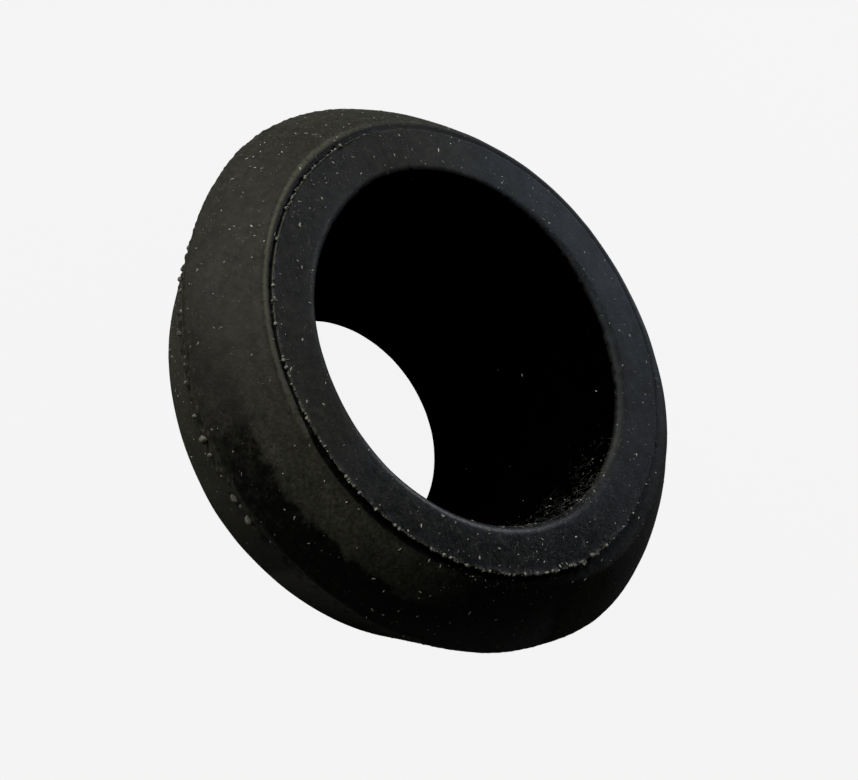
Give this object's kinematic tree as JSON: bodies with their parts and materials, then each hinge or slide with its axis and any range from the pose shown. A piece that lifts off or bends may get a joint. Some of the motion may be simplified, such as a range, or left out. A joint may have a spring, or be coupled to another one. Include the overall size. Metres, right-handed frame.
{
  "type": "pipe sealing ring",
  "caption": "Moulded black rubber sealing ring with a coned bore, a coned flank meeting a rear band at a ridge, and a flat face at each end.",
  "frame": {"origin": "centre of the bore at the rear face", "axes": "+Z along the ring's axis, from the small rear face towards the wide mouth and the front face"},
  "size_m": [0.0432, 0.0432, 0.0183],
  "materials": {
    "ring_rubber": "satin moulded rubber, dusty"
  },
  "bodies": {
    "root": {"sealing_ring": "ring_rubber"}
  },
  "joints": []
}
